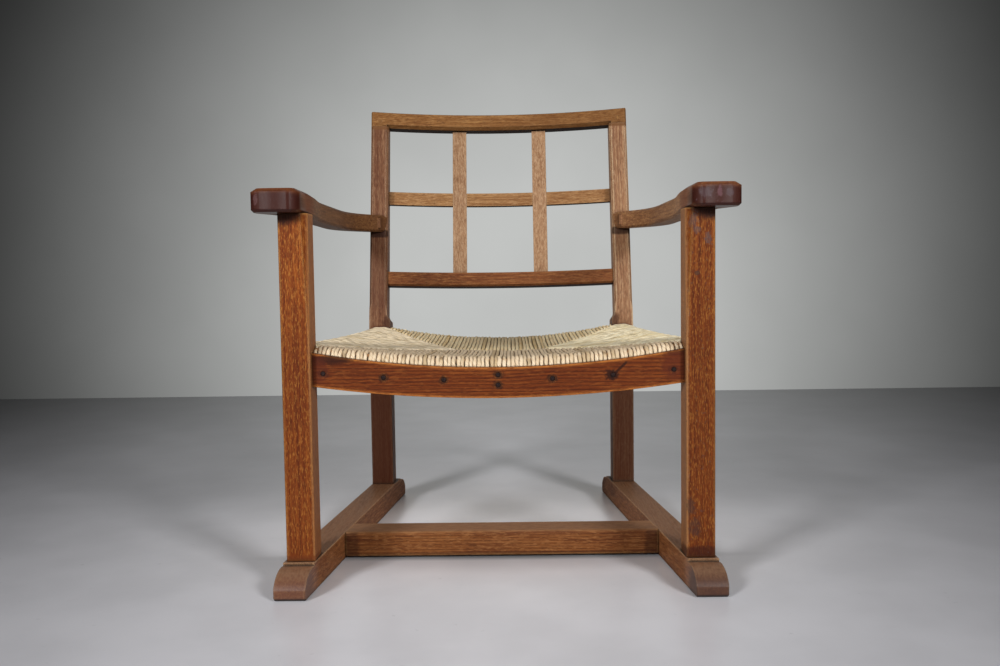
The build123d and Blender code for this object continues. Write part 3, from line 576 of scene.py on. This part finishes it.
def dress_wood():
    dress_sides()
    dress_oak("stretcher", "stretcher", lighter(STRETCHER, 0.86), "X", 20,
              rings=0.5, pith=(-0.30, 0.18), dust=0.7, strokes=0.35, stains=0.95, flecks=0.5,
              wear=1.0, wear_reach=7.0, marks=stretcher_marks())
    dark_end = [((0.16, 0.28, 0.765), (0.13, 0.1, 0.05), linear(90, 50, 24), 0.3, 0.8)]
    dress_oak("crest_rail", "crest", CREST, "X", 21,
              rings=0.3, pith=(0.20, 0.90), below=0.92, strokes=0.3, marks=dark_end)
    dress_oak("lattice_mid_rail", "mid_rail", BACK, "X", 22,
              rings=0.3, pith=(0.20, 0.50), below=0.9, strokes=0.3)
    dress_oak("lattice_bottom_rail", "low_rail", lighter(LOW_RAIL, 1.12), "X", 23,
              rings=0.3, pith=(0.18, 0.50), below=0.9, strokes=0.3)
    dress_oak("front_seat_rail", "front_rail", PLAIN, "X", 24)
    dress_oak("back_seat_rail", "back_rail", PLAIN, "X", 25)
    dress_oak("front_apron", "apron", lighter(APRON, 0.86), "X", 26,
              rings=0.75, pith=(-0.36, 0.16), ring_gap=4.6, streak_size=(3.0, 520.0), streaks=0.65,
              strokes=0.3, flecks=0.3, wear=1.0, wear_reach=8.0, marks=apron_marks())
    dress_oak("apron_pegs", "peg", PEG, "Y", 27, wear=0.0)
    dress_oak("crest_pegs", "crest_peg", CREST, "Y", 28, wear=0.2)


# ---------------------------------------------------------------- rush seat

# Bench millimetres: x from the middle, y back from the front posts' front face, z from the floor.
SEAT_FRONT = 20.8
SEAT_MIDDLE = 284.65
SEAT_BACK = 514.6
POST_FRONT_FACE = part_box("front_post_left")[0].y / MM
FRONT_CORNER = (263.7, 41.3)
BACK_CORNER = (214.7, 483.7)
SEAT_APEX = 72.0
FRONT_PITCH = 5.95
BACK_PITCH = 6.4
SIDE_PITCH = 6.2
# Heights of the seat's top and bottom: the place in depth, the height at the sides, the height in the middle.
TOPS = ((SEAT_FRONT, 350.3, 330.3), (SEAT_MIDDLE, 346.3, 319.0), (SEAT_BACK, 351.0, 328.3))
BOTTOMS = ((SEAT_FRONT, 290.7, 274.7), (SEAT_MIDDLE, 290.7, 297.0), (SEAT_BACK, 290.7, 272.7))
RAIL_HALF_WIDTH = 286.7
RAIL_TAPER = 0.1106
RAIL_START = 41
SIDE_REACH = 15.3
END_CORNER_GAP = 2.0
SIDE_CORNER_GAP = 3
STRAND_DEPTH = 6.4
STRAND_SIDES = 10
SWELL = 0.07
SWELL_LENGTHS = (9, 16)
RIDGE = 0.11
INSET = STRAND_DEPTH / 2 - 0.4
# How long and how high the curve of the top edge is, and the radius of the bottom edge's.
END_ROLL = (18.0, 11.0)
SIDE_ROLL = (12.0, 10.0)
BOTTOM_ROUND = 9.0
PATH_STEPS = 16
ROLL_SHARES = np.linspace(0.1, 1, 9)
DROP_STEPS = 6
ROUND_SHARES = np.linspace(0.15, 1, 5)
SEAM_SINK = 4.0
SEAM_SINK_LENGTH = 3.0
SEAM_OVERLAP = 1.0
SWAY_LENGTH = 60
# How far each strand strays, its width as a share of the pitch, and the length of one turn of its twist.
END_STRAY = 0.3
END_LIFT = 0.5
END_LEAN = 1.2
END_WIDTHS = (1.04, 1.14)
END_TWISTS = (13, 19)
SIDE_STRAY = 0.4
SIDE_LIFT = 0.4
SIDE_WIDTHS = (1.08, 1.18)
SIDE_TWISTS = (16, 24)
PACKING_INSET = 5
PACKING_SINK = 4.5


def rail_line(y):
    """Half the seat's width at the middle of its side rails."""
    return RAIL_HALF_WIDTH - RAIL_TAPER * (y - RAIL_START)


def through_three(y, sections, column):
    """The smooth curve through the three sections' values."""
    (y0, y1, y2) = (s[0] for s in sections)
    (v0, v1, v2) = (s[column] for s in sections)
    return (
        v0 * (y - y1) * (y - y2) / ((y0 - y1) * (y0 - y2))
        + v1 * (y - y0) * (y - y2) / ((y1 - y0) * (y1 - y2))
        + v2 * (y - y0) * (y - y1) / ((y2 - y0) * (y2 - y1))
    )


def dished(x, y, sections):
    """Height of the seat's top or bottom, in millimetres."""
    side = through_three(y, sections, 1)
    middle = through_three(y, sections, 2)
    half = rail_line(y) - SIDE_REACH
    share = np.minimum(np.abs(x) / half, 1.0)
    return middle + (side - middle) * share ** 2


def row_frame(points):
    """Bench millimetres, measured from the front posts' front face, as metres in the row frame."""
    points = np.array(points, float)
    points[:, 1] += POST_FRONT_FACE
    return points * MM


def add_object(name, mesh, material):
    made = bpy.data.objects.new(name, mesh)
    bpy.context.scene.collection.objects.link(made)
    made.data.materials.append(material)
    return made


def strand_mesh(path, outward, sideways, width, depth, twist, rng):
    """A twisted cord's points, and how far each of its rings is along it."""
    angle = np.linspace(0, 2 * np.pi, STRAND_SIDES, endpoint=False)
    run = np.concatenate([[0], np.cumsum(np.linalg.norm(np.diff(path, axis=0), axis=1))])
    phase = rng.uniform(0, 2 * np.pi)
    swell = 1 + SWELL * np.sin(run / rng.uniform(*SWELL_LENGTHS) + phase)
    turned = angle[None, :] * 2 - run[:, None] * twist + phase
    ridge = 1 + RIDGE * np.cos(turned)
    a = np.cos(angle)[None, :] * width / 2 * swell[:, None] * ridge
    b = np.sin(angle)[None, :] * depth / 2 * swell[:, None] * ridge
    points = path[:, None, :] + a[..., None] * sideways[:, None, :] + b[..., None] * outward[:, None, :]
    return points, run


class StrandField:
    """Collects many strands in one mesh."""

    def __init__(self, name):
        self.name = name
        self.points = []
        self.faces = []
        self.uvs = []
        self.tones = []

    def add(self, path, outward, sideways, width, depth, twist, rng, tone):
        grid, run = strand_mesh(path, outward, sideways, width, depth, twist, rng)
        rows, columns = grid.shape[:2]
        start = len(self.points)
        self.points.extend(grid.reshape(-1, 3))
        self.tones.extend([tone] * (rows * columns))
        for i in range(rows - 1):
            for j in range(columns):
                k = (j + 1) % columns
                self.faces.append((start + i * columns + j, start + i * columns + k,
                                   start + (i + 1) * columns + k, start + (i + 1) * columns + j))
                u0, u1 = run[i] * MM, run[i + 1] * MM
                v0, v1 = j / columns, (j + 1) / columns
                self.uvs.extend([(u0, v0), (u0, v1), (u1, v1), (u1, v0)])

    def build(self, material):
        mesh = bpy.data.meshes.new(self.name)
        mesh.from_pydata([tuple(p) for p in row_frame(self.points)], [], self.faces)
        layer = mesh.uv_layers.new(name="strand")
        layer.data.foreach_set("uv", np.array(self.uvs, np.float32).ravel())
        tone = mesh.attributes.new("tone", "FLOAT", "POINT")
        tone.data.foreach_set("value", np.array(self.tones, np.float32))
        mesh.polygons.foreach_set("use_smooth", [True] * len(mesh.polygons))
        mesh.update()
        return add_object(self.name, mesh, material)


def wrap_path(top_start, edge, bottom_start, top_at, bottom_at, point_at, roll):
    """A path over the top to the edge, round it and back beneath."""
    direction = math.copysign(1, edge - top_start)
    roll_length = min(roll[0], abs(edge - top_start) - 1.0)
    start = edge - direction * roll_length
    inner = edge - direction * BOTTOM_ROUND
    path = [point_at(t, top_at(t)) for t in np.linspace(top_start, start, PATH_STEPS)]
    high, low = top_at(start), bottom_at(inner)
    for share in ROLL_SHARES:
        turn = share * math.pi / 2
        height = high - roll[1] * (1 - math.cos(turn))
        path.append(point_at(start + direction * roll_length * math.sin(turn), height))
    for height in np.linspace(high - roll[1], low + BOTTOM_ROUND, DROP_STEPS)[1:]:
        path.append(point_at(edge, height))
    for share in ROUND_SHARES:
        turn = share * math.pi / 2
        height = low + BOTTOM_ROUND * (1 - math.sin(turn))
        path.append(point_at(inner + direction * BOTTOM_ROUND * math.cos(turn), height))
    for t in np.linspace(inner, bottom_start, PATH_STEPS)[1:]:
        path.append(point_at(t, bottom_at(t)))
    return np.array(path)


def frames(path, sideways):
    """Unit vectors out of the seat and across the strand, at each point of its path."""
    along = np.gradient(path, axis=0)
    along /= np.linalg.norm(along, axis=1)[:, None]
    side = np.tile(np.array(sideways, float), (len(path), 1))
    outward = np.cross(side, along)
    outward /= np.linalg.norm(outward, axis=1)[:, None]
    return outward, side


def mitre_y(x, corner):
    """Where the seam between an end field and a side field lies, at a distance x from the middle."""
    share = np.clip((abs(x) - SEAT_APEX) / (corner[0] - SEAT_APEX), 0, 1)
    return SEAT_MIDDLE + (corner[1] - SEAT_MIDDLE) * share


def mitre_x(y):
    """The same seam's distance from the middle, at a place in depth."""
    corner = FRONT_CORNER if y < SEAT_MIDDLE else BACK_CORNER
    share = np.clip((y - SEAT_MIDDLE) / (corner[1] - SEAT_MIDDLE), 0, 1)
    return SEAT_APEX + (corner[0] - SEAT_APEX) * share


def seam_sink(distance):
    """How far a strand dives where it meets the seam."""
    return SEAM_SINK * math.exp(-abs(distance) / SEAM_SINK_LENGTH)


def end_field(name, corner, edge, pitch, rng, material):
    """Strands that run front to back over the front or the back rail."""
    field = StrandField(name)
    reach = corner[0] - END_CORNER_GAP
    count = round(2 * reach / pitch)
    for x in np.linspace(-reach, reach, count):
        x = x + rng.uniform(-END_STRAY, END_STRAY)
        lift = rng.uniform(-END_LIFT, END_LIFT)
        seam = mitre_y(x, corner)
        inward = math.copysign(1, edge - seam)
        lean = rng.uniform(-END_LEAN, END_LEAN)

        def top_at(t):
            return float(dished(x, t, TOPS)) - INSET + lift - seam_sink(t - seam)

        def bottom_at(t):
            return float(dished(x, t, BOTTOMS)) + INSET

        def point_at(t, height):
            sway = lean * math.sin((t - seam) / SWAY_LENGTH)
            return (x + sway, t, height)

        path = wrap_path(seam - inward * SEAM_OVERLAP, edge - inward * INSET, seam,
                         top_at, bottom_at, point_at, END_ROLL)
        outward, sideways = frames(path, (inward, 0, 0))
        field.add(path, outward, sideways, pitch * rng.uniform(*END_WIDTHS), STRAND_DEPTH,
                  2 * math.pi / rng.uniform(*END_TWISTS), rng, rng.random())
    return field.build(material)


def side_field(name, sign, rng, material):
    """Strands that run across over a side rail."""
    field = StrandField(name)
    low, high = FRONT_CORNER[1] + SIDE_CORNER_GAP, BACK_CORNER[1] - SIDE_CORNER_GAP
    count = round((high - low) / SIDE_PITCH)
    for y in np.linspace(low, high, count):
        y = y + rng.uniform(-SIDE_STRAY, SIDE_STRAY)
        seam = mitre_x(y)
        edge = rail_line(y) + SIDE_REACH
        lift = rng.uniform(-SIDE_LIFT, SIDE_LIFT)

        def top_at(t):
            return float(dished(t, y, TOPS)) - INSET + lift - seam_sink(t - seam)

        def bottom_at(t):
            return float(dished(t, y, BOTTOMS)) + INSET

        def point_at(t, height):
            return (sign * t, y, height)

        path = wrap_path(seam - SEAM_OVERLAP, edge - INSET, seam, top_at, bottom_at, point_at, SIDE_ROLL)
        outward, sideways = frames(path, (0, -sign, 0))
        field.add(path, outward, sideways, SIDE_PITCH * rng.uniform(*SIDE_WIDTHS), STRAND_DEPTH,
                  2 * math.pi / rng.uniform(*SIDE_TWISTS), rng, rng.random())
    return field.build(material)


def rolled_off(y):
    """How far the top lies lower at a distance from the seat's front or back edge."""
    length, height = END_ROLL
    near = min(y - SEAT_FRONT, SEAT_BACK - y)
    if near >= length:
        return 0.0
    return height * (1 - math.sqrt(1 - ((length - near) / length) ** 2))


def stuffing(material):
    """The dark packing that shows between the strands: the seat's form, drawn in all round."""
    rows = np.linspace(SEAT_FRONT + PACKING_INSET, SEAT_BACK - PACKING_INSET, 40)
    shares = np.linspace(-1, 1, 41)
    points = []
    for y in rows:
        half = rail_line(y) + SIDE_REACH - PACKING_INSET
        if y < FRONT_CORNER[1] + SIDE_CORNER_GAP:
            half = FRONT_CORNER[0] - SIDE_CORNER_GAP
        elif y > BACK_CORNER[1] - SIDE_CORNER_GAP:
            half = BACK_CORNER[0] - SIDE_CORNER_GAP
        for share in shares:
            top = float(dished(share * half, y, TOPS))
            points.append((share * half, y, top - PACKING_SINK - rolled_off(y)))
        for share in shares:
            points.append((share * half, y, float(dished(share * half, y, BOTTOMS)) + PACKING_SINK))
    across = len(shares)
    stride = 2 * across
    faces = []
    for i in range(len(rows) - 1):
        for j in range(across - 1):
            a, b = i * stride + j, (i + 1) * stride + j
            faces.append((a, a + 1, b + 1, b))
            faces.append((a + across, b + across, b + across + 1, a + across + 1))
        for j in (0, across - 1):
            a, b = i * stride + j, (i + 1) * stride + j
            faces.append((a, b, b + across, a + across))
    for i in (0, len(rows) - 1):
        for j in range(across - 1):
            a = i * stride + j
            faces.append((a, a + across, a + across + 1, a + 1))
    mesh = bpy.data.meshes.new("rush_stuffing")
    mesh.from_pydata([tuple(p) for p in row_frame(points)], [], faces)
    mesh.update()
    return add_object("rush_stuffing", mesh, material)


LEAF_GIRTH = 2.2
STRAND_GAP_REACH = 2.5
RUSH_SEED = 7


def rush_material(name, straw, cream, olive, brown, twist=45.0, gap=0.8, leaf_length=45.0):
    """Dry rush: pale and olive leaves that wind round each strand, and painted shade in the gaps between
    strands.
    """
    shader = Shader(name)
    uv = shader.node("ShaderNodeUVMap", uv_map="strand").outputs[0]
    run, round_share, _ = shader.split(uv)
    tone = shader.node("ShaderNodeAttribute", attribute_name="tone").outputs["Fac"]
    turned = shader.math("SUBTRACT", round_share, shader.math("MULTIPLY", run, twist))
    angle = shader.math("MULTIPLY", turned, 2 * math.pi)
    shift = shader.math("MULTIPLY", tone, 40.0)
    leaf = shader.join(
        shader.math("MULTIPLY", run, leaf_length),
        shader.math("MULTIPLY", shader.math("SINE", angle), LEAF_GIRTH),
        shader.math("ADD", shader.math("MULTIPLY", shader.math("COSINE", angle), LEAF_GIRTH), shift),
    )
    fibres = shader.noise(leaf, scale=1.6, detail=4.0, roughness=0.65)
    patches = shader.join(shader.math("MULTIPLY", run, 22.0), shader.math("MULTIPLY", tone, 90.0), 0.0)
    patch = shader.noise(patches, detail=2.0)
    colour = shader.mix(shader.smooth(fibres, 0.35, 0.65), straw, cream)
    colour = shader.mix(shader.smooth(patch, 0.54, 0.74, 0.0, 0.6), colour, olive)
    colour = shader.mix(shader.smooth(tone, 0.8, 0.92, 0.0, 0.5), colour, olive)
    colour = shader.mix(shader.smooth(patch, 0.66, 0.74, 0.0, 0.6), colour, brown)
    colour = shader.mix(shader.smooth(fibres, 0.62, 0.8, 0.0, 0.4), colour, brown)
    # Painted shade in the gaps between strands, found by ambient occlusion.
    dark = shader.crevice(STRAND_GAP_REACH * MM)
    colour = shader.mix(shader.math("MULTIPLY", dark, gap), colour, brown)
    return shader.finish(colour, 0.7, fibres, None, bump=0.8, bump_size=0.0007, specular=0.12)


def make_rush():
    rng = random.Random(RUSH_SEED)
    # The four fields are lighter and darker copies of one rush: painted light, set for how the light falls on
    # each field.
    front_looks = rush_material("rush_front_looks", linear(224, 194, 154), linear(252, 234, 204),
                                linear(180, 150, 102), linear(86, 52, 28), gap=0.82)
    back_looks = rush_material("rush_back_looks", linear(255, 212, 148), linear(255, 252, 220),
                               linear(214, 178, 114), linear(84, 54, 28), gap=0.85)
    left_looks = rush_material("rush_left_looks", linear(240, 216, 178), linear(253, 238, 210),
                               linear(190, 166, 112), linear(124, 92, 58),
                               twist=8.0, gap=0.6, leaf_length=20.0)
    right_looks = rush_material("rush_right_looks", linear(248, 226, 182), linear(255, 246, 216),
                                linear(214, 188, 122), linear(134, 100, 62),
                                twist=8.0, gap=0.5, leaf_length=20.0)
    packing = Shader("rush_packing")
    mottle = packing.noise(packing.place(), scale=300.0, detail=3.0)
    packed = packing.finish(packing.mix(mottle, linear(40, 26, 16), linear(92, 68, 42)), 0.85, mottle)
    front = end_field("rush_front_strands", FRONT_CORNER, SEAT_FRONT, FRONT_PITCH, rng, front_looks)
    back = end_field("rush_back_strands", BACK_CORNER, SEAT_BACK, BACK_PITCH, rng, back_looks)
    left = side_field("rush_left_strands", -1, rng, left_looks)
    right = side_field("rush_right_strands", 1, rng, right_looks)
    core = stuffing(packed)
    for piece in (front, back, left, right, core):
        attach(piece, "root")
    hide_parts("rush_front")
    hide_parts("rush_back")
    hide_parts("rush_side_left")
    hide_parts("rush_side_right")


# ---------------------------------------------------------------- studio

WALL_PLACE = 1.91
STAGE_HALF_WIDTH = 6.0
STAGE_FRONT = -6
WALL_HEIGHT = 5.0
# Painted pools of light: the centre, the radii and how steeply they fall off.
FLOOR_POOL = ((-0.043, 0.025, 0.0), (1.813, 3.438, 1.0), 1.371)
FLOOR_GREYS = (226.0, 18.0)
# Painted shadow on the floor in front of the stretcher: the centre, the radii and the strength.
FLOOR_PAINTED_SHADOW = (
    ((0.0, -0.145, 0.0), (0.27, 0.050, 1.0), 0.30),
    ((0.0, -0.139, 0.0), (0.26, 0.014, 1.0), 0.60),
)
WALL_POOL = ((0.035, WALL_PLACE, 0.328), (2.221, 1.0, 2.381), 2.17)
WALL_GREYS = (235.5, 36.4)
WALL_LIMIT = (190.0, 14.0)
DARKEST_DISPLAY = 8.0
DISPLAY_GAMMA = 2.2
SOFTBOX_PLACE = (2.0, -2.9, 1.8)
SOFTBOX_TARGET = (0, 0.1, 0.3)
SOFTBOX_SIZE = (0.7, 0.7)
SOFTBOX_POWER = 78
# Narrow cards that are aimed at the arms' front ends.
CARD_REACHES = (0.53, 0.89)
CARD_DEPTH_HEIGHT = (-2.0, 0.70)
CARD_TARGET = (0.3, -0.3, 0.55)
CARD_SIZE = (0.11, 0.4)
CARD_POWER = 0.85
WORLD_TINT = (0.95, 0.97, 1.0, 1)
WORLD_STRENGTH = 0.09


def plane(name, corners, material):
    mesh = bpy.data.meshes.new(name)
    mesh.from_pydata(corners, [], [(0, 1, 2, 3)])
    add_object(name, mesh, material)


def falloff(shader, centre, radii, power):
    """1 at the centre, and less with distance in radii, in the way that a lit paper darkens."""
    away = shader.vector("DIVIDE", shader.vector("SUBTRACT", shader.place(), centre), radii)
    steepened = shader.math("POWER", shader.length(away), power)
    return shader.math("EXPONENT", shader.math("MULTIPLY", steepened, -1.0))


def grey_of(shader, display):
    """The linear grey of a display value from 0 to 255."""
    share = shader.math("DIVIDE", shader.math("MAXIMUM", display, DARKEST_DISPLAY), 255.0)
    return shader.math("POWER", share, DISPLAY_GAMMA)


def floor_material():
    """Plain floor with a painted pool of light that darkens away from the chair, and a painted shadow before
    the stretcher.
    """
    shader = Shader("studio_floor")
    near = falloff(shader, *FLOOR_POOL)
    gain, base = FLOOR_GREYS
    grey = grey_of(shader, shader.math("ADD", shader.math("MULTIPLY", near, gain), base))
    blur = shader.noise(shader.place(), scale=6.0, detail=4.0)
    speck = shader.noise(shader.place(), scale=60.0, detail=3.0)
    grey = shader.math("MULTIPLY", grey, shader.smooth(blur, 0.3, 0.7, 0.95, 1.05))
    grey = shader.math("MULTIPLY", grey, shader.smooth(speck, 0.68, 0.78, 1.0, 0.86))
    # Painted shadow before the stretcher.
    for centre, radii, strength in FLOOR_PAINTED_SHADOW:
        shade = shader.math("MULTIPLY", shader.blot(centre, radii, 0.8), strength)
        grey = shader.math("MULTIPLY", grey, shader.math("SUBTRACT", 1.0, shade))
    colour = shader.join(grey, shader.math("MULTIPLY", grey, 0.99), shader.math("MULTIPLY", grey, 1.04))
    return shader.finish(colour, 0.3, blur, None, bump=0.02, bump_size=0.001, specular=0.5)


def wall_material():
    """Plain paper that glows with its own painted pool of light; the lamps do not light it."""
    shader = Shader("studio_wall")
    near = falloff(shader, *WALL_POOL)
    gain, loss = WALL_GREYS
    pool = shader.math("SUBTRACT", shader.math("MULTIPLY", near, gain), loss)
    grey = grey_of(shader, shader.math("SMOOTH_MIN", pool, *WALL_LIMIT))
    blur = shader.noise(shader.place(), scale=2.0, detail=3.0)
    grey = shader.math("MULTIPLY", grey, shader.smooth(blur, 0.3, 0.7, 0.97, 1.03))
    colour = shader.join(grey, shader.math("MULTIPLY", grey, 1.02), grey)
    glow = shader.node("ShaderNodeEmission", {"Color": colour})
    out = shader.node("ShaderNodeOutputMaterial")
    shader.tree.links.new(glow.outputs[0], out.inputs["Surface"])
    return shader.material


def make_studio():
    near, far, wide, tall = STAGE_FRONT, WALL_PLACE, STAGE_HALF_WIDTH, WALL_HEIGHT
    floor = [(-wide, near, 0), (wide, near, 0), (wide, far, 0), (-wide, far, 0)]
    wall = [(-wide, far, 0), (wide, far, 0), (wide, far, tall), (-wide, far, tall)]
    plane("floor", floor, floor_material())
    plane("backdrop", wall, wall_material())


def mirrored(place, sign):
    return (sign * place[0], *place[1:])


def lamp(name, place, target, size, power):
    light = bpy.data.lights.new(name, "AREA")
    light.shape = "RECTANGLE"
    light.size, light.size_y = size
    light.energy = power
    made = bpy.data.objects.new(name, light)
    made.location = place
    made.rotation_euler = (Vector(target) - Vector(place)).to_track_quat("-Z", "Y").to_euler()
    bpy.context.scene.collection.objects.link(made)


def make_light():
    for side, sign in SIDES:
        lamp("softbox_" + side, mirrored(SOFTBOX_PLACE, sign), SOFTBOX_TARGET, SOFTBOX_SIZE, SOFTBOX_POWER)
        for reach in CARD_REACHES:
            place = mirrored((reach, *CARD_DEPTH_HEIGHT), sign)
            lamp("softbox_" + side + "_card", place, mirrored(CARD_TARGET, sign), CARD_SIZE, CARD_POWER)
    world = bpy.data.worlds.new("studio")
    world.use_nodes = True
    glow = world.node_tree.nodes["Background"]
    glow.inputs[0].default_value = WORLD_TINT
    glow.inputs[1].default_value = WORLD_STRENGTH
    bpy.context.scene.world = world


# ---------------------------------------------------------------- all together

bpy.context.scene.view_settings.view_transform = "Standard"
make_camera()
make_studio()
make_light()
dress_wood()
make_rush()
